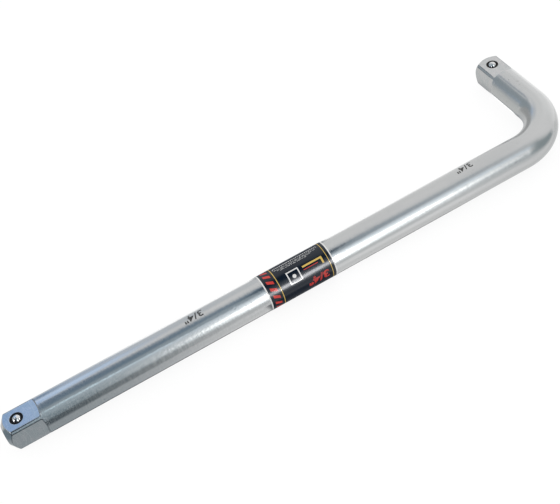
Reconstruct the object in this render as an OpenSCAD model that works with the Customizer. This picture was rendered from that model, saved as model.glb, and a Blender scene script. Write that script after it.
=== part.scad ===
// L-shaped breaker bar. One round bar is bent to a right angle, with a milled square drive on each
// end. Each square holds a ball on a coil spring, which snaps into a socket's groove, and a printed
// label is wrapped round the long arm.
//
// The bar is drawn with the tip of the long arm at the start of the X axis, the bar along +X, and
// the short arm along +Y. laid_down() then sets it on its side with the middle of its box at X = Y = 0
// and its lowest point at Z = 0.

/* [Bar] */
// Diameter of the round bar
bar_d = 25; // [24:0.5:32]
// Length over the long side, from its tip to the outside of the short arm
long_side = 450; // [350:5:700]
// Length over the short side, from its tip to the outside of the long arm
short_side = 106.5; // [100:0.5:200]
// Radius of the bend at the middle of the bar
bend_r = 36; // [28:1:40]

/* [Square drives] */
// Width of a square across its flats
drive_w = 19.05; // [18:0.05:22]
// Length of a flat from the tip to the middle of its shoulder
drive_l = 26; // [22:0.5:30]
// Radius of the cutter that leaves the curved shoulders
cutter_r = 30; // [20:1:60]
// Diameter of the flat face on each tip
tip_d = 13.6; // [12:0.2:17]
// Length of the cone between a tip and the full bar
tip_cone_l = 4.5; // [1:0.1:5]

/* [Detent balls] */
// Diameter of a ball
ball_d = 6.35; // [5:0.05:7]
// Distance from a tip to the middle of its ball
ball_from_tip = 11.2; // [9:0.1:15]
// Height of a ball above its flat
ball_proud = 1.7; // [0.6:0.1:1.8]
// Gap round a ball in its bore, on each side
ball_gap = 0.07; // [0.03:0.01:0.1]
// Depth of a ball's bore below the flat
bore_depth = 13; // [12:0.5:15]
// Reach of the staked rim over a ball, on each side, which keeps the ball in
rim_reach = 0.1; // [0.1:0.05:0.4]
// Thickness of the staked rim
rim_t = 0.3; // [0.2:0.05:0.6]
// Width of the sloping ring that the staking punch leaves
stake_w = 1.4; // [0.6:0.1:1.6]

/* [Detent springs] */
// Diameter of the spring's wire
wire_d = 0.7; // [0.5:0.05:0.8]
// Gap between a spring and the wall of its bore, on each side
spring_gap = 0.4; // [0.2:0.05:0.6]
// Number of turns between a spring's two seated ends
spring_turns = 3.5; // [2:0.5:4]
// Gap between a spring and what it seats on, so that it bears without biting
seat_gap = 0.03; // [0.01:0.01:0.1]

/* [Label] */
// Distance from the tip of the long arm to the label
label_from_tip = 188.5; // [60:0.5:220]
// Length of the label along the bar
label_l = 51; // [20:1:80]
// Thickness of the label's film
label_t = 0.12; // [0.08:0.01:0.3]
// Thickness of the glue under the film
glue_t = 0.03; // [0.02:0.01:0.1]

/* [Hidden] */
$fn = 96;

bar_r = bar_d / 2;
ball_r = ball_d / 2;
wire_r = wire_d / 2;
bore_r = ball_r + ball_gap;
label_r = bar_r + glue_t + label_t;

// Where the straight arms end and the bend starts
bend_x = long_side - bar_r - bend_r;
short_tip_y = short_side - bar_r;

// Levels in a drive, counted from the axis of its arm
flat_z = drive_w / 2;
ball_z = flat_z + ball_proud - ball_r;
bore_z = flat_z - bore_depth;
rim_r = ball_r - rim_reach;
rim_z = ball_z + sqrt(pow(ball_r + seat_gap, 2) - pow(rim_r, 2));
cone_z = rim_z + rim_t;

// A spring's centreline: its radius, and its levels on the floor of the bore and under the ball
coil_r = bore_r - spring_gap - wire_r;
coil_low_z = bore_z + seat_gap + wire_r;
coil_high_z = ball_z - sqrt(pow(ball_r + seat_gap + wire_r, 2) - pow(coil_r, 2));
seated_turn = 0.5;
coil_turns = spring_turns + 2 * seated_turn;
rings_per_turn = 20;
rings = round(coil_turns * rings_per_turn);
wire_sides = 8;

// Overlap of a cutting shape past the surface that it cuts
past = 1;

// Turns the drive's side of the short arm: its tip at the origin and its arm along +X
module at_short_end() {
    translate([bend_x + bend_r, short_tip_y, 0]) rotate([0, 0, -90]) children();
}

module laid_down() {
    translate([-long_side / 2, (label_r - short_tip_y) / 2, label_r]) children();
}

// A straight arm with its tip at the origin, coned at the tip and running along +X
module arm(length) {
    rotate([0, 90, 0])
        rotate_extrude()
            polygon([
                [0, 0],
                [tip_d / 2, 0],
                [bar_r, tip_cone_l],
                [bar_r, length],
                [0, length]
            ]);
}

module bend() {
    translate([bend_x, bend_r, 0])
        rotate([0, 0, -90])
            rotate_extrude(angle = 90)
                translate([bend_r, 0]) circle(r = bar_r);
}

// What the cutter takes off each side of a drive, leaving a flat with a curved shoulder
module flat_cuts() {
    for (side = [0:3])
        rotate([90 * side, 0, 0])
            translate([drive_l - cutter_r, 0, flat_z])
                cylinder(r = cutter_r, h = bar_r);
}

// The hole for a ball and its spring: a blind bore, the opening in the staked rim, and the cone of the punch
module detent_hole() {
    translate([ball_from_tip, 0, 0]) {
        translate([0, 0, bore_z]) cylinder(r = bore_r, h = rim_z - bore_z);
        translate([0, 0, rim_z - past]) cylinder(r = rim_r, h = rim_t + past);
        translate([0, 0, cone_z])
            cylinder(r1 = rim_r, r2 = rim_r + stake_w, h = flat_z - cone_z);
        translate([0, 0, flat_z]) cylinder(r = rim_r + stake_w, h = past);
    }
}

module drive_cuts() {
    flat_cuts();
    detent_hole();
}

module ball() {
    translate([ball_from_tip, 0, ball_z]) sphere(r = ball_r);
}

// Height of a spring's centreline after a number of turns: flat on each seat, and rising evenly between
function coil_z(turn) =
    coil_low_z + (coil_high_z - coil_low_z)
        * min(max((turn - seated_turn) / spring_turns, 0), 1);

// Slope of the centreline, as rise over run, which tilts each ring of the wire
function coil_slope(turn) =
    turn <= seated_turn || turn >= coil_turns - seated_turn
        ? 0
        : (coil_high_z - coil_low_z) / (spring_turns * 2 * PI * coil_r);

// One ring of points round the wire, square to the centreline
function wire_ring(turn) =
    let (a = 360 * turn, tilt = atan(coil_slope(turn)))
        [for (side = [0:wire_sides - 1])
            let (
                b = 360 * side / wire_sides,
                out = coil_r + wire_r * cos(b),
                up = wire_r * sin(b)
            )
            [
                out * cos(a) + up * sin(tilt) * sin(a),
                out * sin(a) - up * sin(tilt) * cos(a),
                coil_z(turn) + up * cos(tilt)
            ]];

module spring() {
    points = [for (ring = [0:rings]) each wire_ring(coil_turns * ring / rings)];
    last = rings * wire_sides;
    start_cap = [for (side = [1:wire_sides - 2]) [0, side, side + 1]];
    end_cap = [for (side = [1:wire_sides - 2]) [last, last + side + 1, last + side]];
    walls = [
        for (ring = [0:rings - 1], side = [0:wire_sides - 1])
            let (
                here = ring * wire_sides + side,
                beside = ring * wire_sides + (side + 1) % wire_sides
            )
            each [
                [here, here + wire_sides, beside + wire_sides],
                [here, beside + wire_sides, beside]
            ]
    ];
    translate([ball_from_tip, 0, 0])
        polyhedron(points = points, faces = concat(start_cap, walls, end_cap));
}

// The least gap between the wire of one turn and the next, measured on the centreline's points
function coil_point(turn) = [coil_r * cos(360 * turn), coil_r * sin(360 * turn), coil_z(turn)];
turn_gap = min([
    for (i = [0:rings], j = [i + 1:rings])
        if (j - i > rings_per_turn / 2)
            norm(coil_point(coil_turns * i / rings) - coil_point(coil_turns * j / rings))
]) - wire_d;
echo(str("Least gap between the turns of a spring: ", turn_gap, " mm"));

module shank() {
    color("silver")
        laid_down()
            difference() {
                union() {
                    arm(bend_x);
                    bend();
                    at_short_end() arm(short_tip_y - bend_r);
                }
                drive_cuts();
                at_short_end() drive_cuts();
            }
}

module long_end_ball() {
    color("gainsboro") laid_down() ball();
}

module short_end_ball() {
    color("gainsboro") laid_down() at_short_end() ball();
}

module long_end_spring() {
    color("dimgray") laid_down() spring();
}

module short_end_spring() {
    color("dimgray") laid_down() at_short_end() spring();
}

module label_sleeve() {
    color("midnightblue")
        laid_down()
            translate([label_from_tip, 0, 0])
                rotate([0, 90, 0])
                    difference() {
                        cylinder(r = label_r, h = label_l);
                        translate([0, 0, -past]) cylinder(r = bar_r + glue_t, h = label_l + 2 * past);
                    }
}

shank();
long_end_ball();
short_end_ball();
long_end_spring();
short_end_spring();
label_sleeve();
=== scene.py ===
"""Looks of the L-shaped breaker bar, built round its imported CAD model.

Lengths are in millimetres, along and around the bar, until placed() turns them into the frame's metres.
The bar's own frame has its origin at the tip of the long arm, with +X along that arm, +Y along the
short arm and +Z out of the flats that hold the balls. A place on the bar is (s, angle, r): the
distance along its middle line from the long tip, the angle round it from +Y towards +Z, and the
distance from the middle line. The camera, the floor and the studio's boards are in metres.
"""

import math

import bmesh
import bpy
import numpy as np
from mathutils import Matrix, Vector


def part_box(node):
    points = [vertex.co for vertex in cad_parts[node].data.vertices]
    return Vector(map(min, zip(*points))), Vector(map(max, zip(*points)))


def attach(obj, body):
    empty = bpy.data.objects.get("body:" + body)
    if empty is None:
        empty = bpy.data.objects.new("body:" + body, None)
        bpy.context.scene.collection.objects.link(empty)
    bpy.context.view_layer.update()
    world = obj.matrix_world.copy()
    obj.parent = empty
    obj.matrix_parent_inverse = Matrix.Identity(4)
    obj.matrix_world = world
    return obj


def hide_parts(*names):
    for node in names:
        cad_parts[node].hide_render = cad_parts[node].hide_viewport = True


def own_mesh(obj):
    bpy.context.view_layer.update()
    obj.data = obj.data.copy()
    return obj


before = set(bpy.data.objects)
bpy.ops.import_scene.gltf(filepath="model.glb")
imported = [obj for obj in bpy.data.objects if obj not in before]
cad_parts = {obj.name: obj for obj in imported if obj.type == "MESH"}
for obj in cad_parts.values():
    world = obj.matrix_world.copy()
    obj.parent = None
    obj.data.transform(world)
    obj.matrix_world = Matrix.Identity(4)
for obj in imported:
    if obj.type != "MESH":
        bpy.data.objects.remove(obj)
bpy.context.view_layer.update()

MM = 0.001

# The bar, as in the CAD source: its arms up to the bend, and its middle line from tip to tip
BAR_R = 12.5
LONG_L = 401.5
BEND_R = 36.0
SHORT_L = 58.0
BEND_L = BEND_R * math.pi / 2
PATH_L = LONG_L + BEND_L + SHORT_L

# A drive: levels are from the axis of its arm, and distances along it are from its tip
FLAT = 9.525
RIDGE = math.sqrt(BAR_R ** 2 - FLAT ** 2)
TIP_R = 6.8
CONE_L = 4.5
CUTTER_R = 30.0
CUTTER_X = -4.0
DRIVE_END = 28.0

# The ball, its bore with the staked rim, and the middle line of its spring
BALL_X = 11.2
BALL_R = 3.175
BALL_Z = 8.05
BORE_R = 3.245
BORE_Z = -3.475
RIM_R = 3.075
RIM_LOW = 8.954
RIM_HIGH = 9.254
COIL_R = 2.495
WIRE_R = 0.35
COIL_LOW = -3.095
COIL_HIGH = 5.518

# The label: where it starts, its film outside the glue, and the bare white edge at each of its ends
LABEL_S = 188.5
LABEL_L = 51.0
LABEL_R = 12.645
GLUE_R = 12.53
LABEL_EDGE = 0.9
DEGREE = math.pi / 180 * LABEL_R

# The size number of the drives
SIZE = '3/4"'

# The slots of the bar's materials. The last one paints shade into the crater and bore round each ball
PLATED, MILLED, HOLE_SHADE = range(3)

# Points nearer than this are one point where a mesh is cut, and values nearer than this are the same
WELD = 1e-4
SAME = 1e-5

shank_low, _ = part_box("shank")
TIP = np.array([shank_low.x, shank_low.y + BAR_R * MM, shank_low.z + BAR_R * MM])


def placed(points):
    """Points of the bar's own frame, in the CAD frame's metres."""
    return np.asarray(points, float) * MM + TIP


def along(s):
    """Middle line of the bar at s, and the direction across it there, all in the XY plane."""
    turn = np.clip((s - LONG_L) / BEND_R, 0, math.pi / 2)
    past = np.maximum(s - LONG_L - BEND_L, 0)
    x = np.minimum(s, LONG_L) + BEND_R * np.sin(turn)
    y = BEND_R * (1 - np.cos(turn)) + past
    return x, y, -np.sin(turn), np.cos(turn)


def on_bar(s, angle, r):
    """Points at (s, angle, r) on the bar, in the bar's own frame."""
    s, angle, r = np.broadcast_arrays(np.asarray(s, float), angle, r)
    x, y, across_x, across_y = along(s)
    out = r * np.cos(angle)
    return np.stack([x + across_x * out, y + across_y * out, r * np.sin(angle)], axis=-1)


def at_end(points, end):
    """Points of a drive's frame, whose +X runs from the tip up its arm, in the bar's own frame."""
    points = np.asarray(points, float)
    if end == "long":
        return points
    x, y, z = points[..., 0], points[..., 1], points[..., 2]
    return np.stack([LONG_L + BEND_R + y, BEND_R + SHORT_L - x, z], axis=-1)


# Meshes


def in_scene(name, data):
    """An object that holds the data, in the scene's collection."""
    thing = bpy.data.objects.new(name, data)
    bpy.context.scene.collection.objects.link(thing)
    return thing


def new_piece(name, points, places, faces, materials, face_material=None, exact=None):
    """A smooth mesh piece of the points that its faces use. places are the points that its texture
    uses instead. Its normals lean to the larger faces, and exact gives the normals of some points."""
    used = sorted({point for face in faces for point in face})
    renumbered = {old: new for new, old in enumerate(used)}
    faces = [[renumbered[point] for point in face] for face in faces]
    exact = {renumbered[point]: normal for point, normal in (exact or {}).items() if point in renumbered}
    mesh = bpy.data.meshes.new(name)
    mesh.from_pydata(placed(points)[used].tolist(), [], faces)
    for material in materials:
        mesh.materials.append(material)
    if face_material is not None:
        mesh.polygons.foreach_set("material_index", np.asarray(face_material, np.int32))
    values = mesh.attributes.new("bar_place", "FLOAT_VECTOR", "POINT")
    values.data.foreach_set("vector", (np.asarray(places)[used] * MM).astype(np.float32).ravel())
    work = bmesh.new()
    work.from_mesh(mesh)
    bmesh.ops.recalc_face_normals(work, faces=work.faces)
    work.to_mesh(mesh)
    work.free()
    mesh.shade_smooth()
    set_normals(mesh, exact)
    return in_scene(name, mesh)


def set_normals(mesh, exact):
    """Gives each point the mean normal of its faces, weighted by their areas, or else its exact one."""
    total = np.zeros((len(mesh.vertices), 3))
    for face in mesh.polygons:
        total[list(face.vertices)] += np.array(face.normal) * face.area
    for point, normal in exact.items():
        total[point] = normal
    length = np.linalg.norm(total, axis=1, keepdims=True)
    mesh.normals_split_custom_set_from_vertices((total / np.maximum(length, 1e-12)).tolist())


def rounded(before, corner, after, reach, steps=4):
    """Rows of points that round a corner, from reach before it to reach past it."""
    into = (before - corner) / np.linalg.norm(before - corner, axis=-1, keepdims=True)
    away = (after - corner) / np.linalg.norm(after - corner, axis=-1, keepdims=True)
    reach = np.asarray(reach, float).reshape(-1, 1)
    rows = []
    for t in np.linspace(0, 1, steps + 1):
        rows.append(corner + into * reach * (1 - t) ** 2 + away * reach * t ** 2)
    return rows


# Columns of the bar's mesh: the degrees in a quarter from the middle of a flat, close at its edges
HALF_QUARTER = [3.5 * i for i in range(11)] + [36.4, 37.4, 38.3, 39.1, 39.8, 40.4, 41, 41.7, 42.5, 43.4]
QUARTER = [-45.0] + [-a for a in HALF_QUARTER[:0:-1]] + HALF_QUARTER
COLUMNS = len(QUARTER) * 4
FROM_FLAT = np.radians(np.tile(QUARTER, 4))
ANGLES = np.radians(np.concatenate([np.array(QUARTER) + 90 * i for i in range(4)]))

# The columns and rows round the opening that the bar's mesh leaves for a hole, in degrees either way
OPENING = 31.6
HOLE_COLUMNS = [i + len(QUARTER) for i, a in enumerate(QUARTER) if abs(a) < OPENING]
HOLE_ROWS_X = [BALL_X + FLAT * math.tan(math.radians(a)) for a in QUARTER if abs(a) < OPENING]


def drive_rows():
    """The rows of a drive from its face to the plain bar, each (x, r) by column, and what each is."""
    flat = FLAT / np.cos(FROM_FLAT)

    # The edge between a flat and the round bar is softened where their radii differ by less than this
    soft = 0.6
    near = np.maximum(soft - np.abs(flat - BAR_R), 0) / soft
    r = np.minimum(flat, BAR_R) - near ** 2 * soft / 4
    wall = BAR_R - r
    full = np.full(COLUMNS, BAR_R)

    # What keeps two corners apart where they would fall together
    nudge = 1e-3

    def pair(x, radius):
        return np.stack(np.broadcast_arrays(np.asarray(x, float), radius + 0 * r), axis=-1)

    # The corners of the profile
    face_edge = pair(0, TIP_R)
    cone_end = pair((r - TIP_R) * CONE_L / (BAR_R - TIP_R), r)
    foot = pair(CUTTER_X + np.sqrt(CUTTER_R ** 2 - (r * np.sin(FROM_FLAT)) ** 2), r)
    top = pair(CUTTER_X + np.sqrt(CUTTER_R ** 2 - (full * np.sin(FROM_FLAT)) ** 2) + nudge, full)
    end = pair(DRIVE_END, BAR_R)

    # How far their roundings reach
    edge_reach = np.full(COLUMNS, 0.4)
    foot_reach = np.minimum(0.8, 0.45 * wall)
    top_reach = np.minimum(0.3, 0.45 * wall)

    rows = [(pair(0, radius), "face") for radius in (2.2, 4.4, 6.0)]
    rows += [(row, "face") for row in rounded(pair(0, 5), face_edge, cone_end, edge_reach)]
    rows += [(row, "cone") for row in rounded(face_edge, cone_end, foot, edge_reach)]
    rows += [(pair(x, r), "flat") for x in HOLE_ROWS_X + [20, 22, 23.4]]
    shoulder = rounded(cone_end, foot, top + [0, nudge], foot_reach)
    shoulder += rounded(foot - [0, nudge], top, end, top_reach)

    # Where the shoulder has no height, its rows are spread over 1 mm
    spread = 1 - np.clip(wall, 0, 1)
    for i, row in enumerate(shoulder):
        row[:, 0] += spread * (i / (len(shoulder) - 1) - 0.5)
        rows.append((row, "flat"))
    rows.append((end, "plain"))
    return rows


def shank():
    """The whole bar as one skin, with a hole for the ball and spring in each drive."""
    drive = drive_rows()

    # Rows of the plain bar, about 4 mm apart along the arms and 1.3 mm in the bend
    steps_long = np.linspace(DRIVE_END, LONG_L, 96)[1:]
    steps_bend = LONG_L + np.linspace(0, BEND_L, 46)[1:]
    steps_short = np.linspace(PATH_L - SHORT_L, PATH_L - DRIVE_END, 9)[1:-1]
    plain = np.concatenate([steps_long, steps_bend, steps_short])
    s = [row[:, 0] for row, _ in drive] + [np.full(COLUMNS, x) for x in plain]
    s += [PATH_L - row[:, 0] for row, _ in reversed(drive)]
    r = [row[:, 1] for row, _ in drive] + [np.full(COLUMNS, BAR_R)] * len(plain)
    r += [row[:, 1] for row, _ in reversed(drive)]
    kinds = [kind for _, kind in drive] + ["plain"] * len(plain) + [kind for _, kind in reversed(drive)]
    s, r = np.array(s), np.array(r)
    count = len(s)
    points = on_bar(s, ANGLES[None, :], r).reshape(-1, 3)
    places = np.stack([s, r * np.cos(ANGLES), r * np.sin(ANGLES)], axis=-1).reshape(-1, 3)
    points, places = list(points), list(places)
    milled = np.abs(FROM_FLAT) < math.acos(FLAT / BAR_R)
    exact = {}
    for i, kind in enumerate(kinds):
        if kind == "plain" and 0 < i < count - 1:
            _, _, across_x, across_y = along(s[i])
            for j in range(COLUMNS):
                out = math.cos(ANGLES[j])
                exact[i * COLUMNS + j] = (across_x[j] * out, across_y[j] * out, math.sin(ANGLES[j]))
    first_flat = next(i for i, kind in enumerate(kinds) if kind == "flat")
    hole_rows = {"long": range(first_flat, first_flat + len(HOLE_ROWS_X))}
    hole_rows["short"] = range(count - first_flat - len(HOLE_ROWS_X), count - first_flat)
    columns = range(HOLE_COLUMNS[0], HOLE_COLUMNS[-1])
    faces, face_material = [], []
    for i in range(count - 1):
        is_hole_row = any(i in rows[:-1] for rows in hole_rows.values())
        for j in range(COLUMNS):
            if is_hole_row and j in columns:
                continue
            k = (j + 1) % COLUMNS
            faces.append((i * COLUMNS + j, i * COLUMNS + k, (i + 1) * COLUMNS + k, (i + 1) * COLUMNS + j))
            on_flat = kinds[i] == "flat" or kinds[i + 1] == "flat"
            face_material.append(MILLED if on_flat and milled[j] and milled[k] else PLATED)
    # The middle of each tip's face, and the hole of each drive
    for row, centre_s in ((0, 0.0), (count - 1, PATH_L)):
        points.append(on_bar(centre_s, 0.0, 0.0))
        places.append(np.array([centre_s, 0, 0]))
        for j in range(COLUMNS):
            faces.append((len(points) - 1, row * COLUMNS + j, row * COLUMNS + (j + 1) % COLUMNS))
            face_material.append(PLATED)
    for end, rows in hole_rows.items():
        add_hole(end, rows, points, places, faces, face_material)
    materials = [plating, milled_steel, hole_painted_shade_steel]
    return new_piece("bar_skin", points, places, faces, materials, face_material, exact)


# The staked hole from the flat round it to the floor of its bore, as (radius, height, material)
HOLE_PROFILE = [
    (5.55, FLAT, MILLED),
    (5.0, FLAT, MILLED),
    (4.75, FLAT - 0.01, MILLED),
    (4.55, FLAT - 0.04, MILLED),
    # From here down, the crater and the bore have painted shade
    (4.4, FLAT - 0.09, HOLE_SHADE),
    (4.1, FLAT - 0.15, HOLE_SHADE),
    (3.35, RIM_HIGH + 0.03, HOLE_SHADE),
    (3.16, RIM_HIGH - 0.01, HOLE_SHADE),
    (3.09, RIM_HIGH - 0.05, HOLE_SHADE),
    (RIM_R, RIM_HIGH - 0.1, HOLE_SHADE),
    (RIM_R, RIM_LOW, HOLE_SHADE),
    (BORE_R, RIM_LOW - 0.01, HOLE_SHADE),
    (BORE_R, BALL_Z, HOLE_SHADE),
    (BORE_R, 2.0, HOLE_SHADE),
    (BORE_R, BORE_Z + 0.3, HOLE_SHADE),
    (BORE_R - 0.3, BORE_Z, HOLE_SHADE),
    (1.2, BORE_Z, HOLE_SHADE),
]


def add_hole(end, rows, points, places, faces, face_material):
    """Joins the rectangle left open in the +Z flat of a drive to the round hole for its ball."""
    first, last = rows[0], rows[-1]
    left, right = HOLE_COLUMNS[0], HOLE_COLUMNS[-1]
    loop = [(i, left) for i in range(first, last)] + [(last, j) for j in range(left, right)]
    loop += [(i, right) for i in range(last, first, -1)] + [(first, j) for j in range(right, left, -1)]
    ring = [i * COLUMNS + j for i, j in loop]
    centre = at_end([BALL_X, 0, 0], end)
    ball_s = BALL_X if end == "long" else PATH_L - BALL_X
    spokes = [math.atan2(points[i][1] - centre[1], points[i][0] - centre[0]) for i in ring]
    for radius, height, material in HOLE_PROFILE:
        start = len(points)
        for spoke in spokes:
            point = np.array([math.cos(spoke) * radius, math.sin(spoke) * radius, height])
            point[:2] += centre[:2]
            points.append(point)
            local = point - [centre[0], centre[1], 0]
            past_ball = local[0] if end == "long" else local[1]
            across = local[1] if end == "long" else -local[0]
            places.append(np.array([ball_s + past_ball, across, height]))
        for i in range(len(ring)):
            k = (i + 1) % len(ring)
            faces.append((ring[i], ring[k], start + k, start + i))
            face_material.append(material)
        ring = [start + i for i in range(len(ring))]
    points.append(np.array([centre[0], centre[1], BORE_Z]))
    places.append(np.array([ball_s, 0, BORE_Z]))
    for i in range(len(ring)):
        faces.append((ring[i], ring[(i + 1) % len(ring)], len(points) - 1))
        face_material.append(HOLE_SHADE)


def ball(end):
    """A detent ball with a finer mesh than the CAD's, and its poles up and down."""
    rings, spokes = 40, 64
    points = [(0, 0, BALL_R)]
    for i in range(1, rings):
        a = math.pi * i / rings
        out = BALL_R * math.sin(a)
        for j in range(spokes):
            b = 2 * math.pi * j / spokes
            points.append((out * math.cos(b), out * math.sin(b), BALL_R * math.cos(a)))
    points.append((0, 0, -BALL_R))
    faces = [(0, 1 + j, 1 + (j + 1) % spokes) for j in range(spokes)]
    for i in range(rings - 2):
        for j in range(spokes):
            k = (j + 1) % spokes
            a, b = 1 + i * spokes, 1 + (i + 1) * spokes
            faces.append((a + j, b + j, b + k, a + k))
    last = 1 + (rings - 2) * spokes
    faces += [(len(points) - 1, last + (j + 1) % spokes, last + j) for j in range(spokes)]
    exact = {i: point for i, point in enumerate(np.array(points) / BALL_R)}
    if end == "short":
        exact = {i: (n[1], -n[0], n[2]) for i, n in exact.items()}
    centred = at_end(np.array(points) + [BALL_X, 0, BALL_Z], end)
    return new_piece(end + "_detent_ball", centred, points, faces, [ball_steel], exact=exact)


def spring(end):
    """A detent spring with closed ends: the wire lies flat for half a turn on each seat."""
    seated, rising = 0.5, 3.5
    turns = rising + 2 * seated
    rings, sides = 200, 14
    points = []
    for i in range(rings + 1):
        turn = turns * i / rings
        share = min(max((turn - seated) / rising, 0), 1)
        height = COIL_LOW + (COIL_HIGH - COIL_LOW) * share
        a = 2 * math.pi * turn
        slope = (COIL_HIGH - COIL_LOW) / (rising * 2 * math.pi * COIL_R) if 0 < share < 1 else 0
        tilt = math.atan(slope)
        for j in range(sides):
            b = 2 * math.pi * j / sides
            out, up = COIL_R + WIRE_R * math.cos(b), WIRE_R * math.sin(b)
            points.append((
                out * math.cos(a) + up * math.sin(tilt) * math.sin(a) + BALL_X,
                out * math.sin(a) - up * math.sin(tilt) * math.cos(a),
                height + up * math.cos(tilt),
            ))
    faces = []
    for i in range(rings):
        for j in range(sides):
            k = (j + 1) % sides
            faces.append((i * sides + j, (i + 1) * sides + j, (i + 1) * sides + k, i * sides + k))
    faces.append(tuple(range(sides)))
    faces.append(tuple(range(rings * sides, (rings + 1) * sides)))
    points = at_end(points, end)
    return new_piece(end + "_detent_spring", points, points, faces, [spring_steel])


# The label


def rectangle(u0, v0, u1, v1):
    return [(u0, v0), (u1, v0), (u1, v1), (u0, v1)]


def disc(u, v, radius, sides=20):
    return [
        (u + radius * math.cos(2 * math.pi * i / sides), v + radius * math.sin(2 * math.pi * i / sides))
        for i in range(sides)
    ]


def label_design():
    """The print as convex shapes (material, points). u runs along the bar from the label's left edge,
    and v runs round it from +Y towards +Z, where DEGREE is the length of one degree."""
    shapes = []

    # Slanted bars near the left edge, a ring beside them and another near the right edge
    left, right, slant, thick = 3.0, 7.6, 2.0, 2.2
    for i in range(15):
        v = (24 * i + 5) * DEGREE
        corners = [(left, v), (left, v + thick), (right, v + (slant + thick)), (right, v + slant)]
        shapes.append(("red", corners))
    shapes.append(("yellow", rectangle(9.6, 0, 10.1, 360 * DEGREE)))
    shapes.append(("yellow", rectangle(47.6, 0, 48.0, 360 * DEGREE)))

    # A square drive with its ball
    u, v, half, line = 22.0, 128 * DEGREE, 4.6, 0.85
    shapes.append(("white", rectangle(u - half, v - half, u + half, v - half + line)))
    shapes.append(("white", rectangle(u - half, v + half - line, u + half, v + half)))
    shapes.append(("white", rectangle(u - half, v - half + line, u - half + line, v + half - line)))
    shapes.append(("white", rectangle(u + half - line, v - half + line, u + half, v + half - line)))
    shapes.append(("white", disc(u, v, 1.35)))

    # An L like the bar itself, with a stripe inside it
    v = 112 * DEGREE
    shapes.append(("yellow", rectangle(29.5, v, 44.5, v + 1.3)))
    shapes.append(("yellow", rectangle(43.2, v + 1.3, 44.5, v + 5.0)))
    shapes.append(("red", rectangle(29.5, v + 2.6, 40.5, v + 3.1)))

    # A scale of fine ticks towards the back, over a fine rule
    v = 69 * DEGREE
    for i in range(25):
        u = 11.6 + 1.4 * i
        tall = 1.5 if i % 5 == 0 else 0.9
        shapes.append(("white", rectangle(u, v, u + 0.3, v + tall)))
    v = 67.5 * DEGREE
    shapes.append(("white", rectangle(11.6, v, 45.5, v + 0.22)))

    # Rows of fine dashes beside it, each row shorter than the one before
    gap, dash_t = 0.7, 0.24
    for row, lengths in enumerate(((2.2, 1.2, 3.0, 1.6), (1.4, 2.6, 0.9), (3.1, 1.1, 1.9, 0.8, 2.3))):
        u, v, i = 12.0 + 2 * row, (79 + 4.5 * row) * DEGREE, 0
        while u < 44 - 4 * row:
            length = lengths[i % len(lengths)]
            shapes.append(("white", rectangle(u, v, u + length, v + dash_t)))
            u, i = u + length + gap, i + 1
    return shapes


def label():
    """The printed film wrapped round the long arm, with its print cut into the mesh."""
    around = 360 * DEGREE
    margin = 0.01
    work = bmesh.new()
    right_edge = LABEL_L - LABEL_EDGE
    us = [0, LABEL_EDGE] + list(np.linspace(3, 48, 10)) + [right_edge, LABEL_L]
    vs = list(np.linspace(0, around, 121))
    grid = [[work.verts.new((u, v, 0)) for v in vs] for u in us]
    for i in range(len(us) - 1):
        for j in range(len(vs) - 1):
            work.faces.new((grid[i][j], grid[i + 1][j], grid[i + 1][j + 1], grid[i][j + 1]))

    # Each side of each shape cuts the faces that the shape touches
    design = label_design()
    for _, shape in design:
        low = np.min(shape, axis=0) - margin
        high = np.max(shape, axis=0) + margin
        for (u0, v0), (u1, v1) in zip(shape, shape[1:] + shape[:1]):
            near = []
            for face in work.faces:
                corners = np.array([vert.co[:2] for vert in face.verts])
                if (corners.max(0) > low).all() and (corners.min(0) < high).all():
                    near.append(face)
            parts = {item for face in near for item in [face, *face.edges, *face.verts]}
            normal = Vector((v1 - v0, u0 - u1, 0)).normalized()
            bmesh.ops.bisect_plane(
                work, geom=list(parts), dist=WELD, plane_co=(u0, v0, 0), plane_no=normal
            )
    work.verts.ensure_lookup_table()
    work.verts.index_update()
    flat = np.array([vert.co[:2] for vert in work.verts])

    # The points at the full turn give way to those at its start
    zero = {round(u, 3): i for i, (u, v) in enumerate(flat) if v < SAME}
    seam = {i: zero.get(round(u, 3), i) for i, (u, v) in enumerate(flat) if v > around - SAME}
    faces, face_material = [], []
    for face in work.faces:
        centre = np.array(face.calc_center_median()[:2])
        print_colour = "white" if centre[0] < LABEL_EDGE or centre[0] > right_edge else "navy"
        for name, shape in design:
            if inside(centre, shape):
                print_colour = name
        faces.append([seam.get(vert.index, vert.index) for vert in face.verts])
        face_material.append(list(film).index(print_colour))
    work.free()
    angle = flat[:, 1] / LABEL_R
    s = LABEL_S + flat[:, 0]
    points = list(on_bar(s, angle, np.full(len(s), LABEL_R)))
    places = list(np.stack([s, LABEL_R * np.cos(angle), LABEL_R * np.sin(angle)], axis=-1))
    exact = {i: (0, math.cos(a), math.sin(a)) for i, a in enumerate(angle)}

    # The cut edges of the film, from its outside down to the glue
    for end in (0.0, LABEL_L):
        rim = sorted((v, i) for i, (u, v) in enumerate(flat) if abs(u - end) < SAME and i not in seam)
        start = len(points)
        for r in (LABEL_R - 0.005, GLUE_R):
            for v, i in rim:
                x = LABEL_S + end
                points.append(on_bar(x, v / LABEL_R, r))
                places.append(np.array([x, r * math.cos(v / LABEL_R), r * math.sin(v / LABEL_R)]))
        n = len(rim)
        for i in range(n):
            k = (i + 1) % n
            faces.append([rim[i][1], rim[k][1], start + k, start + i])
            faces.append([start + i, start + k, start + n + k, start + n + i])
            face_material += [list(film).index("white")] * 2
    return new_piece("label_film", points, places, faces, list(film.values()), face_material, exact)


def inside(point, shape):
    """Whether a point is inside a convex shape."""
    sides = [
        (u1 - u0) * (point[1] - v0) - (v1 - v0) * (point[0] - u0)
        for (u0, v0), (u1, v1) in zip(shape, shape[1:] + shape[:1])
    ]
    return min(sides) > 0 or max(sides) < 0


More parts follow.
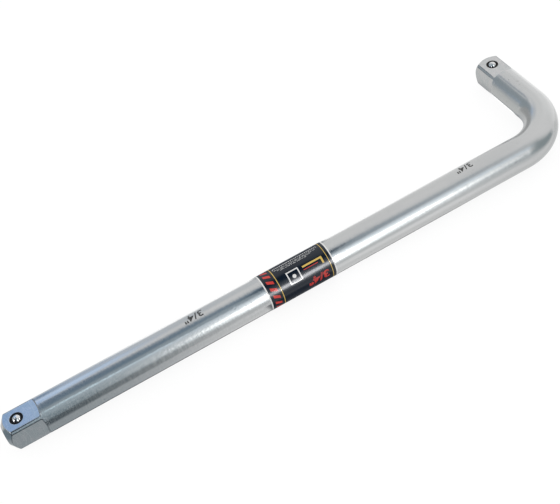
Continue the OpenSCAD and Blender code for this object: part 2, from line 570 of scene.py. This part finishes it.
def size_mark(name, text, s, angle, length, height, r, material, bold=0.018):
    """A size number printed on the bar. It starts at s and reads towards the long tip, with its foot
    at the angle and its top towards -Y. bold is how far its outline grows, in its font's units."""
    ink_t = 0.02
    curve = bpy.data.curves.new(name, "FONT")
    curve.body = text
    curve.extrude = ink_t
    curve.offset = bold
    curve.resolution_u = 6
    source = in_scene(name + "_source", curve)
    mesh = bpy.data.meshes.new_from_object(source)
    bpy.data.objects.remove(source)
    work = bmesh.new()
    work.from_mesh(mesh)
    bmesh.ops.triangulate(work, faces=work.faces)
    low = np.min([vert.co for vert in work.verts], axis=0)
    high = np.max([vert.co for vert in work.verts], axis=0)
    for vert in work.verts:
        vert.co.x = (vert.co.x - low[0]) / (high[0] - low[0]) * length
        vert.co.y = (vert.co.y - low[1]) / (high[1] - low[1]) * height

    # The letters are cut into strips, so that they bend round the bar
    strip = 0.6
    for level in np.arange(strip, height, strip):
        parts = list(work.verts) + list(work.edges) + list(work.faces)
        bmesh.ops.bisect_plane(work, geom=parts, dist=WELD, plane_co=(0, level, 0), plane_no=(0, 1, 0))
    bmesh.ops.remove_doubles(work, verts=work.verts, dist=WELD)
    work.verts.index_update()
    co = np.array([vert.co for vert in work.verts])
    faces = [[vert.index for vert in face.verts] for face in work.faces]
    work.free()
    bpy.data.meshes.remove(mesh)
    around = angle + co[:, 1] / r
    points = on_bar(s - co[:, 0], around, r - ink_t + co[:, 2])
    exact = {i: (0, math.cos(a), math.sin(a)) for i, a in enumerate(around)}
    places = np.stack([s - co[:, 0], r * np.cos(around), r * np.sin(around)], axis=-1)
    return new_piece(name, points, places, faces, [material], exact=exact)


# Materials


class Nodes:
    """Adds nodes to a tree. Settings go on the node, and inputs are linked or filled."""

    def __init__(self, tree):
        self.tree = tree
        tree.nodes.clear()

    def add(self, kind, inputs=None, output=0, **settings):
        node = self.tree.nodes.new(kind)
        for key, value in settings.items():
            setattr(node, key, value)
        for key, value in (inputs or {}).items():
            if isinstance(value, bpy.types.NodeSocket):
                self.tree.links.new(value, node.inputs[key])
            else:
                node.inputs[key].default_value = value
        return node.outputs[output] if len(node.outputs) else node

    def maths(self, operation, a, b=0.0):
        return self.add("ShaderNodeMath", {0: a, 1: b}, operation=operation)

    def fade(self, value, start, end, low=0.0, high=1.0):
        """From low at start to high at end, smoothly, and level outside them."""
        inputs = {"Value": value, 1: start, 2: end, 3: low, 4: high}
        return self.add("ShaderNodeMapRange", inputs, interpolation_type="SMOOTHSTEP")

    def between(self, value, span):
        """1 between the middle two of four values, and fading out to 0 at the outer two."""
        start, full, still_full, end = span
        return self.maths("MULTIPLY", self.fade(value, start, full), self.fade(value, end, still_full))

    def spread(self, value, low, high, start=0.3, end=0.7):
        """Evenly from low at start to high at end, and level outside them."""
        return self.add("ShaderNodeMapRange", {"Value": value, 1: start, 2: end, 3: low, 4: high})

    def mix(self, factor, a, b):
        return self.add("ShaderNodeMix", {0: factor, 6: a, 7: b}, output=2, data_type="RGBA")

    def noise(self, place, scale, stretch=(1, 1, 1), detail=3.0):
        """Noise with features of about 1 / scale, in metres, stretched along each axis."""
        size = tuple(1 / x for x in stretch)
        spot = self.add("ShaderNodeMapping", {"Vector": place, "Scale": size})
        inputs = {"Vector": spot, "Scale": scale, "Detail": detail, "Roughness": 0.55}
        return self.add("ShaderNodeTexNoise", inputs)

    def bump(self, height, distance, normal=None):
        """The height in metres is the distance times the height value."""
        inputs = {"Height": height, "Distance": distance}
        if normal is not None:
            inputs["Normal"] = normal
        return self.add("ShaderNodeBump", inputs)


def colour(r, g, b):
    return (r, g, b, 1.0)


# The dark lines along the edges of the drives; along the foot of each top flat's shoulder they are painted
# shade
DARK_EDGE_LINE = colour(0.08, 0.10, 0.13)


def blank_material(name):
    material = bpy.data.materials.new(name)
    material.use_nodes = True
    return material, Nodes(material.node_tree)


def new_material(name):
    """A material, its nodes, and the place on the bar that its textures use."""
    material, nodes = blank_material(name)
    place = nodes.add("ShaderNodeAttribute", attribute_name="bar_place", output=1)
    return material, nodes, place


def finished(nodes, inputs):
    shader = nodes.add("ShaderNodeBsdfPrincipled", inputs)
    nodes.add("ShaderNodeOutputMaterial", {"Surface": shader})


def patch(nodes, place, s, angle, size):
    """From 1 in the middle of a spot on the bar to 0 at its edge."""
    centre = (s * MM, BAR_R * math.cos(angle) * MM, BAR_R * math.sin(angle) * MM)
    away = nodes.add("ShaderNodeVectorMath", {0: place, 1: centre}, output=1, operation="DISTANCE")
    return nodes.fade(away, size * MM, 0.0)


def drive_place(nodes, place):
    """On a drive: the distances from its tip, from the nearer middle plane and from its axis, and the
    level above its axis."""
    s, across, up = nodes.add("ShaderNodeSeparateXYZ", {0: place}).node.outputs
    from_tip = nodes.maths("MINIMUM", s, nodes.maths("SUBTRACT", PATH_L * MM, s))
    lateral = nodes.maths("MINIMUM", nodes.maths("ABSOLUTE", across), nodes.maths("ABSOLUTE", up))
    squares = nodes.maths("ADD", nodes.maths("POWER", across, 2.0), nodes.maths("POWER", up, 2.0))
    return from_tip, lateral, nodes.maths("SQRT", squares), up


def broken_up_lines(nodes, place, lines):
    """Dark lines along a drive's edges, broken up by uneven noise."""
    uneven = nodes.noise(place, 500, detail=2)
    return nodes.maths("MULTIPLY", lines, nodes.fade(uneven, 0.3, 0.6, 0.4, 0.9))


def lines_beside_flats(nodes, from_tip, lateral):
    """1 along the edges between the flats and the round corners of a drive."""
    beside = nodes.maths("ABSOLUTE", nodes.maths("SUBTRACT", lateral, RIDGE * MM))
    beside = nodes.fade(beside, 0.34 * MM, 0.1 * MM)
    return nodes.maths("MULTIPLY", beside, nodes.fade(from_tip, 25 * MM, 21 * MM))


def make_plating():
    """Satin plating: a fine grain, faint marks from drawing and turning, two smudges and a small dent."""
    material, nodes, place = new_material("satin_plating")
    cloud = nodes.noise(place, 60, (3, 1, 1))
    grain = nodes.noise(place, 1300, detail=4)
    streak = nodes.noise(place, 500, (14, 1, 1), detail=3)
    rings = nodes.noise(place, 1300, (1, 6, 6), detail=2)
    tone = nodes.spread(cloud, 0.0, 1.0)
    base = nodes.mix(tone, colour(0.495, 0.503, 0.505), colour(0.535, 0.54, 0.54))
    specks = nodes.noise(place, 420, detail=1)
    base = nodes.mix(nodes.fade(specks, 0.74, 0.8), base, colour(0.33, 0.34, 0.35))
    smudge_near_tip = patch(nodes, place, 493, math.radians(88), 2.2)
    smudge_near_bend = patch(nodes, place, 474, math.radians(92), 2.0)
    smudge = nodes.maths("MAXIMUM", smudge_near_tip, smudge_near_bend)
    base = nodes.mix(nodes.maths("MULTIPLY", smudge, 0.22), base, colour(0.3, 0.3, 0.3))
    from_tip, lateral, _, _ = drive_place(nodes, place)
    lines = broken_up_lines(nodes, place, lines_beside_flats(nodes, from_tip, lateral))
    base = nodes.mix(lines, base, DARK_EDGE_LINE)
    rough = nodes.spread(grain, 0.15, 0.23)
    wave = nodes.noise(place, 55, (2.5, 1, 1), detail=1)
    ripple = nodes.noise(place, 230, (1, 0.7, 0.7), detail=1)
    normal = nodes.bump(wave, 0.00006)
    normal = nodes.bump(ripple, 0.000032, normal)
    normal = nodes.bump(streak, 0.000006, normal)
    normal = nodes.bump(rings, 0.00003, normal)
    normal = nodes.bump(grain, 0.000007, normal)
    pit = patch(nodes, place, 165, math.radians(127), 1.0)
    normal = nodes.bump(nodes.maths("MULTIPLY", pit, -1.0), 0.00008, normal)
    finished(nodes, {"Base Color": base, "Metallic": 1.0, "Roughness": rough, "Normal": normal})
    return material


def make_milled_steel():
    """Plated flats with the arcs that the cutter left, centred on the cutter's axis."""
    material, nodes, place = new_material("milled_flats")
    from_tip, lateral, from_axis, up = drive_place(nodes, place)
    cone_slope = CONE_L / (BAR_R - TIP_R)
    cone_x = nodes.maths("MULTIPLY", nodes.maths("SUBTRACT", from_axis, TIP_R * MM), cone_slope)
    from_cone = nodes.maths("ABSOLUTE", nodes.maths("SUBTRACT", from_tip, cone_x))
    cone = nodes.fade(from_cone, 0.3 * MM, 0.1 * MM, 0, 0.8)
    lines = nodes.maths("MAXIMUM", lines_beside_flats(nodes, from_tip, lateral), cone)
    squares = nodes.maths("POWER", nodes.maths("SUBTRACT", from_tip, CUTTER_X * MM), 2.0)
    squares = nodes.maths("ADD", squares, nodes.maths("POWER", lateral, 2.0))
    radius = nodes.maths("SQRT", squares)
    arcs = nodes.noise(nodes.add("ShaderNodeCombineXYZ", {0: radius}), 1300, detail=2)
    patches = nodes.fade(nodes.noise(place, 240, detail=3), 0.35, 0.65)
    base = nodes.mix(patches, colour(0.485, 0.505, 0.51), colour(0.545, 0.54, 0.545))
    base = nodes.mix(nodes.fade(arcs, 0.52, 0.72), base, colour(0.63, 0.635, 0.63))
    # Painted shade: a dark line along the foot of the shoulder of each top flat, where the flat meets the
    # step
    foot = nodes.maths("ABSOLUTE", nodes.maths("SUBTRACT", radius, (CUTTER_R - 0.1) * MM))
    foot = nodes.fade(foot, 0.5 * MM, 0.1 * MM, 0.0, 0.7)
    foot = nodes.maths("MULTIPLY", foot, nodes.fade(up, 8.4 * MM, 9.2 * MM))
    lines = broken_up_lines(nodes, place, nodes.maths("MAXIMUM", lines, foot))
    base = nodes.mix(lines, base, DARK_EDGE_LINE)
    grain = nodes.noise(place, 1500)
    rough = nodes.spread(grain, 0.2, 0.28)
    normal = nodes.bump(arcs, 0.00003)
    normal = nodes.bump(grain, 0.000006, normal)
    normal = nodes.bump(nodes.noise(place, 160, detail=2), 0.00005, normal)
    finished(nodes, {"Base Color": base, "Metallic": 1.0, "Roughness": rough, "Normal": normal})
    return material


def make_hole_painted_shade():
    """The steel of the staked crater and the bore, nearly black: painted shade in the hollow round the
    ball.
    """
    material, nodes, place = new_material("hole_painted_shade_steel")
    base = nodes.mix(nodes.noise(place, 900), colour(0.01, 0.01, 0.012), colour(0.03, 0.028, 0.026))
    normal = nodes.bump(nodes.noise(place, 2500), 0.00001)
    finished(nodes, {"Base Color": base, "Metallic": 1.0, "Roughness": 0.45, "Normal": normal})
    return material


def make_ball_steel():
    """Polished bearing steel with the faint rub marks of sockets."""
    material, nodes, place = new_material("ball_steel")
    base = nodes.mix(nodes.noise(place, 700), colour(0.66, 0.66, 0.66), colour(0.72, 0.72, 0.71))
    rub = nodes.noise(place, 2500, (1, 6, 1), detail=3)
    rough = nodes.spread(rub, 0.03, 0.12, 0.35, 0.75)
    normal = nodes.bump(rub, 0.0000008)
    finished(nodes, {"Base Color": base, "Metallic": 1.0, "Roughness": rough, "Normal": normal})
    return material


def make_spring_steel():
    """Drawn music wire, lightly oiled."""
    material, nodes, place = new_material("spring_steel")
    base = nodes.mix(nodes.noise(place, 1200), colour(0.3, 0.3, 0.31), colour(0.4, 0.39, 0.37))
    normal = nodes.bump(nodes.noise(place, 4000), 0.000004)
    finished(nodes, {"Base Color": base, "Metallic": 1.0, "Roughness": 0.35, "Normal": normal})
    return material


def make_film(name, ink):
    """Glossy film over an ink. Small waves show where it isn't quite tight on the bar."""
    material, nodes, place = new_material("film_" + name)
    worn = tuple(c * 0.9 + 0.002 for c in ink)
    base = nodes.mix(nodes.noise(place, 350, detail=4), colour(*ink), colour(*worn))
    haze = nodes.noise(place, 900, detail=3)
    rough = nodes.spread(haze, 0.19, 0.28)
    normal = nodes.bump(nodes.noise(place, 90, (2, 1, 1), detail=1), 0.00004)
    normal = nodes.bump(haze, 0.000003, normal)
    finished(nodes, {"Base Color": base, "Roughness": rough, "IOR": 1.45, "Normal": normal})
    return material


def make_ink():
    """Dark etching ink, a little uneven in tone."""
    material, nodes, place = new_material("size_ink")
    base = nodes.mix(nodes.noise(place, 1500), colour(0.028, 0.028, 0.028), colour(0.07, 0.07, 0.068))
    finished(nodes, {"Base Color": base, "Metallic": 0.2, "Roughness": 0.45})
    return material


plating = make_plating()
milled_steel = make_milled_steel()
hole_painted_shade_steel = make_hole_painted_shade()
ball_steel = make_ball_steel()
spring_steel = make_spring_steel()
film = {
    "navy": make_film("navy", (0.001, 0.006, 0.016)),
    "white": make_film("white", (0.78, 0.78, 0.77)),
    "red": make_film("red", (0.62, 0.045, 0.035)),
    "yellow": make_film("yellow", (0.72, 0.50, 0.12)),
}
ink = make_ink()

# The pieces, each on its CAD body

bar_skin = shank()
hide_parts("shank")
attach(bar_skin, "bar")

for end in ("long", "short"):
    piece = ball(end)
    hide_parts(end + "_end_ball")
    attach(piece, end + "_detent")
    piece = spring(end)
    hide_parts(end + "_end_spring")
    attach(piece, "bar")
    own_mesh(piece)

label_film = label()
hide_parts("label_sleeve")
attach(label_film, "bar")

marks = [
    size_mark("size_mark_near", SIZE, 145.8, math.radians(70), 13.6, 6.1, BAR_R + 0.02, ink),
    size_mark("size_mark_far", SIZE, 361.0, math.radians(63), 13.0, 6.1, BAR_R + 0.02, ink),
]
for mark in marks:
    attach(mark, "bar")
size_print = size_mark(
    "label_size_print", SIZE, LABEL_S + 45.0, math.radians(158), 16.0, 6.4, LABEL_R, film["red"], 0.04
)
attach(size_print, "bar")

# The camera, fitted to the bar's outline in the photograph

camera_data = bpy.data.cameras.new("camera")
camera = in_scene("camera", camera_data)
right = Vector((0.8574, -0.4871, -0.1659))
up = Vector((0.4647, 0.5945, 0.6562))
back = -Vector((0.2210, 0.6398, -0.7361))
turned = Matrix((right, up, back)).transposed()
camera.matrix_world = Matrix.Translation((-0.1579, -0.493475, 0.55785)) @ turned.to_4x4()
camera_data.sensor_width = 36
camera_data.lens = 68.74
camera_data.shift_x = -0.0394
camera_data.shift_y = -0.0109
camera_data.clip_start = 0.01
camera_data.clip_end = 50
bpy.context.scene.camera = camera


def sheet(name, width, height):
    """A flat object of the studio with one face, and the nodes of its material."""
    half_w, half_h = width / 2, height / 2
    corners = [(-half_w, -half_h, 0), (half_w, -half_h, 0), (half_w, half_h, 0), (-half_w, half_h, 0)]
    mesh = bpy.data.meshes.new(name)
    mesh.from_pydata(corners, [], [(0, 1, 2, 3)])
    material, nodes = blank_material(name)
    mesh.materials.append(material)
    return in_scene(name, mesh), nodes


# The floor: white where the camera sees it, and darker in the bar's own shadow

FLOOR_W = 18
floor, nodes = sheet("floor", FLOOR_W, FLOOR_W)
floor.visible_glossy = False
path = nodes.add("ShaderNodeLightPath").node.outputs
seen = nodes.maths("MAXIMUM", path["Is Camera Ray"], path["Is Glossy Ray"])
seen = nodes.maths("MAXIMUM", seen, path["Is Transmission Ray"])
glow = nodes.add("ShaderNodeEmission", {"Color": colour(1, 1, 1), "Strength": 0.9})
thin = nodes.add("ShaderNodeBsdfDiffuse", {"Color": colour(0.12, 0.12, 0.12)})
white = nodes.add("ShaderNodeAddShader", {0: glow, 1: thin})
plain = nodes.add("ShaderNodeBsdfDiffuse", {"Color": colour(0.8, 0.8, 0.8)})
surface = nodes.add("ShaderNodeMixShader", {0: seen, 1: plain, 2: white})
nodes.add("ShaderNodeOutputMaterial", {"Surface": surface})

# Boards close to the bar, each mirrored by one stretch of it


def board(name, centre, facing, width, height, tint, full=(0.36, 0.6)):
    """A board of the studio, seen only in gloss. Its edges fade out past a full middle, given as
    shares of its width and height."""
    piece, nodes = sheet(name, width, height)
    piece.location = centre
    piece.rotation_euler = Vector(facing).to_track_quat("Z", "Y").to_euler()
    piece.visible_camera = False
    piece.visible_diffuse = False
    piece.visible_shadow = False
    place = nodes.add("ShaderNodeTexCoord", output=3)
    x, y, _ = nodes.add("ShaderNodeSeparateXYZ", {0: place}).node.outputs
    mask = nodes.maths(
        "MULTIPLY",
        nodes.fade(nodes.maths("ABSOLUTE", x), width / 2, width / 2 * full[0]),
        nodes.fade(nodes.maths("ABSOLUTE", y), height / 2, height / 2 * full[1]),
    )
    glow = nodes.add("ShaderNodeEmission", {"Color": colour(*tint), "Strength": 1.0})
    clear = nodes.add("ShaderNodeBsdfTransparent")
    surface = nodes.add("ShaderNodeMixShader", {0: mask, 1: clear, 2: glow})
    nodes.add("ShaderNodeOutputMaterial", {"Surface": surface})


# The camera's direction round the long arm, in degrees from +Y towards +Z
CAMERA_SIDE = 129.7


def board_round(name, x, far, degrees, lean, width, height, tint, full):
    """A board at a distance from the long arm, in the place that the arm mirrors to the camera. Its
    direction is in degrees round the arm, 0 in front, 90 overhead and 180 behind."""
    mirror = math.radians((CAMERA_SIDE + 180 - degrees) / 2)
    out_y, out_z = math.cos(mirror), math.sin(mirror)
    start = Vector((x, TIP[1] + BAR_R * MM * out_y, TIP[2] + BAR_R * MM * out_z))
    toward = Vector((lean, -math.cos(math.radians(degrees)), math.sin(math.radians(degrees))))
    board(name, start + toward * far, -toward, width, height, tint, full)


for row in (
    # (name, x, distance, degrees, lean along +X, width, height, colour, full shares)
    ("blue_back_board", -0.25, 0.17, 173, 0, 0.14, 0.11, (0.25, 0.38, 0.56), (0.6, 0.5)),
    ("lavender_board", -0.24, 0.32, 140, 0, 0.34, 0.24, (0.58, 0.70, 0.88), (0.36, 0.6)),
    ("blue_board", -0.24, 0.28, 139, 0, 0.31, 0.26, (0.86, 1.06, 1.35), (0.36, 0.1)),
    ("blue_board_near", -0.245, 0.24, 131, 0, 0.09, 0.12, (0.34, 0.57, 0.97), (0.36, 0.6)),
    ("label_lamp", -0.011, 0.1, 24, 0.21, 0.068, 0.045, (20, 20, 20.3), (0.7, 0.5)),
    ("label_shade", -0.011, 0.1, 80, 0.21, 0.068, 0.085, (0.02, 0.06, 0.11), (0.7, 0.6)),
    ("label_back", -0.011, 0.08, 196, 0.21, 0.068, 0.075, (0.30, 0.32, 0.35), (0.75, 0.7)),
):
    board_round(*row)

# A lamp and a shade for the near ball, painted shade for the corner inside the bend, and painted shadow
# on the floor close under the bar
board("ball_lamp", (-0.345, -0.045, 0.072), (0.94, 0, -0.34), 0.06, 0.06, (7, 7, 7))
board("ball_shade", (-0.254, -0.064, 0.0705), (0, 0.42, -0.9), 0.092, 0.036, (0.02, 0.02, 0.03), (0.8, 0.5))
# Painted shade: grey boards in place of the shaded floor that the inside of the bend mirrors
board("corner_pale_shade", (0.1945, -0.0055, 0.0125), (0, -1, 0), 0.012, 0.018, (0.74, 0.75, 0.75), (0.4, 0.5))
board("corner_shade", (0.1945, -0.006, 0.022), (0, -1, 0), 0.012, 0.018, (0.5, 0.51, 0.51), (0.5, 0.4))
# Painted shadow: a dark sheet on the floor under the short arm by the bend, for its contact shadow
board("corner_floor_shadow", (0.2085, 0.02, 0.0006), (0, 0, 1), 0.028, 0.09, (0.5, 0.51, 0.53))
board("floor_glint", (0.2035, 0.0216, 0.0007), (0, 0, 1), 0.008, 0.04, (1.8, 1.8, 1.8))
# Painted shadow: a dark sheet on the floor just in front of the label, for its contact shadow
board("label_floor_shadow", (-0.0105, -0.056, 0.0006), (0, 0, 1), 0.056, 0.04, (0.22, 0.23, 0.25), (0.85, 0.7))

# The studio: a pale room with a soft window in front and soft boards and glows all round. "side" is how
# far a direction leans along +X, and "height" is its angle about X: 0 at the front, 90 overhead, 180
# behind and negative below. Each entry fades in and out along both, and "lean" turns it by adding that
# many degrees of height per unit of side. Heights that end past WHOLE_TURN count on beyond 180.

WHOLE_TURN = 182
STUDIO = [
    # (what, colour, side: in from, to, out from, to, height: in from, to, out from, to, lean)
    ("dim left side", (0.44, 0.49, 0.52), (-9, -8, -0.04, 0.19), (-181, -180, 96, 114), 0),
    ("haze at the left", (0.41, 0.52, 0.59), (-9, -8, -0.06, 0.12), (-26, -8, 54, 64), 0),
    ("dark back, left", (0.41, 0.47, 0.51), (-0.84, -0.76, -0.04, 0.06), (147, 172, 250, 300), -90),
    ("pale back left", (0.84, 0.85, 0.84), (-0.89, -0.79, -0.24, -0.10), (172, 192, 238, 252), 0),
    ("pale floor left", (0.70, 0.74, 0.80), (-0.20, -0.08, -0.04, 0.03), (180, 192, 222, 236), 0),
    ("lavender back", (0.58, 0.70, 0.88), (-0.14, -0.08, 0.0, 0.08), (138, 150, 184, 198), 0),
    ("dim back", (0.76, 0.80, 0.84), (-0.04, 0.05, 0.11, 0.24), (124, 146, 174, 186), 0),
    ("ceiling beam", (0.20, 0.29, 0.38), (-0.31, -0.17, 0.12, 0.50), (61, 76, 106, 122), 100),
    ("beam's edge", (0.16, 0.24, 0.34), (-0.16, -0.09, -0.06, 0.10), (90, 97, 113, 122), 0),
    ("board over the window", (0.42, 0.50, 0.56), (-9, -8, 0.24, 0.50), (54, 64, 74, 84), 0),
    ("front board, left", (0.22, 0.30, 0.35), (-9, -8, -0.06, 0.12), (4, 14, 26, 42), 0),
    ("cool sky", (0.97, 1.06, 1.14), (0.0, 0.1, 0.5, 0.6), (40, 46, 54, 62), 0),
    ("line of light", (2.4, 3.0, 3.3), (-0.09, -0.01, 0.02, 0.08), (56.5, 58.5, 60, 62.5), 70),
    ("window's glow", (2.6, 2.75, 2.8), (0.105, 0.18, 0.25, 0.36), (-4, 10, 30, 46), 0),
    ("glow over the window", (1.5, 1.6, 1.66), (0.09, 0.15, 0.36, 0.46), (31, 37, 43, 50), 0),
    ("window in front", (5, 5.1, 5.15), (0.135, 0.18, 0.28, 0.385), (13, 20, 29.5, 36), 0),
    ("table edge, left", (0.08, 0.11, 0.13), (-9, -8, -0.06, 0.20), (-36, -19, 2, 16), 0),
    ("table edge", (0.84, 0.87, 0.88), (0.0, 0.2, 0.6, 0.7), (-20, -15, -8, 0), 0),
    ("glow on the table", (1.17, 1.17, 1.17), (0.12, 0.18, 0.34, 0.46), (-50, -40, -28, -18), 0),
    ("dim patch", (0.56, 0.61, 0.63), (0.33, 0.42, 0.58, 0.72), (-8, 2, 17, 29), 0),
    ("board in front, right", (0.39, 0.45, 0.47), (0.40, 0.66, 0.96, 0.985), (38, 84, 112, 150), 100),
    ("floor in front, right", (0.84, 0.85, 0.85), (0.22, 0.36, 8, 9), (-125, -112, -74, -50), 0),
    ("shadow beneath", (0.03, 0.03, 0.04), (-0.14, -0.08, 0.34, 0.40), (-134, -124, -110, -98), 0),
    ("shadow beneath, left", (0.05, 0.05, 0.06), (-0.14, -0.08, 0.08, 0.22), (-134, -124, -107, -94), 0),
    ("lit floor behind", (1.6, 1.6, 1.6), (-0.06, 0.08, 0.28, 0.40), (182, 198, 210, 216), 0),
    ("lit floor at the right", (1.2, 1.2, 1.2), (0.36, 0.5, 8, 9), (-181, -180, -150, -135), 0),
    ("shade in the corner", (0.60, 0.61, 0.62), (0.38, 0.43, 0.52, 0.62), (178, 188, 216, 232), 0),
    ("pale back right", (1.12, 1.12, 1.12), (0.5, 0.72, 8, 9), (110, 140, 179, 181), 0),
    ("dark far left", (0.22, 0.29, 0.34), (-9, -8, -0.90, -0.82), (-182, -181, 181, 182), 0),
    ("dark left front", (0.02, 0.02, 0.03), (-9, -8, -0.40, -0.2), (-70, -50, 46, 62), 0),
    ("lamp, far left", (1.2, 1.2, 1.2), (-9, -8, -0.93, -0.89), (-16, -4, 20, 34), 0),
]

world = bpy.data.worlds.new("studio")
bpy.context.scene.world = world
world.use_nodes = True
nodes = Nodes(world.node_tree)
direction = nodes.add("ShaderNodeTexCoord", output=0)
side, front, height = nodes.add("ShaderNodeSeparateXYZ", {0: direction}).node.outputs
angle = nodes.maths("ARCTAN2", height, nodes.maths("MULTIPLY", front, -1.0))
angle = nodes.maths("MULTIPLY", angle, 180 / math.pi)
whole_turn = nodes.maths("ADD", angle, nodes.maths("MULTIPLY", nodes.maths("LESS_THAN", angle, 0), 360))
room = colour(1, 1, 1)
for _, tint, sides, heights, lean in STUDIO:
    tilted = whole_turn if heights[3] > WHOLE_TURN else angle
    if lean:
        tilted = nodes.maths("ADD", tilted, nodes.maths("MULTIPLY", side, lean))
    mask = nodes.maths("MULTIPLY", nodes.between(side, sides), nodes.between(tilted, heights))
    room = nodes.mix(mask, room, colour(*tint))
path = nodes.add("ShaderNodeLightPath").node.outputs
seen = nodes.mix(path["Is Glossy Ray"], colour(1, 1, 1), room)
background = nodes.add("ShaderNodeBackground", {"Color": seen, "Strength": 1.0})
nodes.add("ShaderNodeOutputWorld", {"Surface": background})

bpy.context.scene.view_settings.view_transform = "Standard"
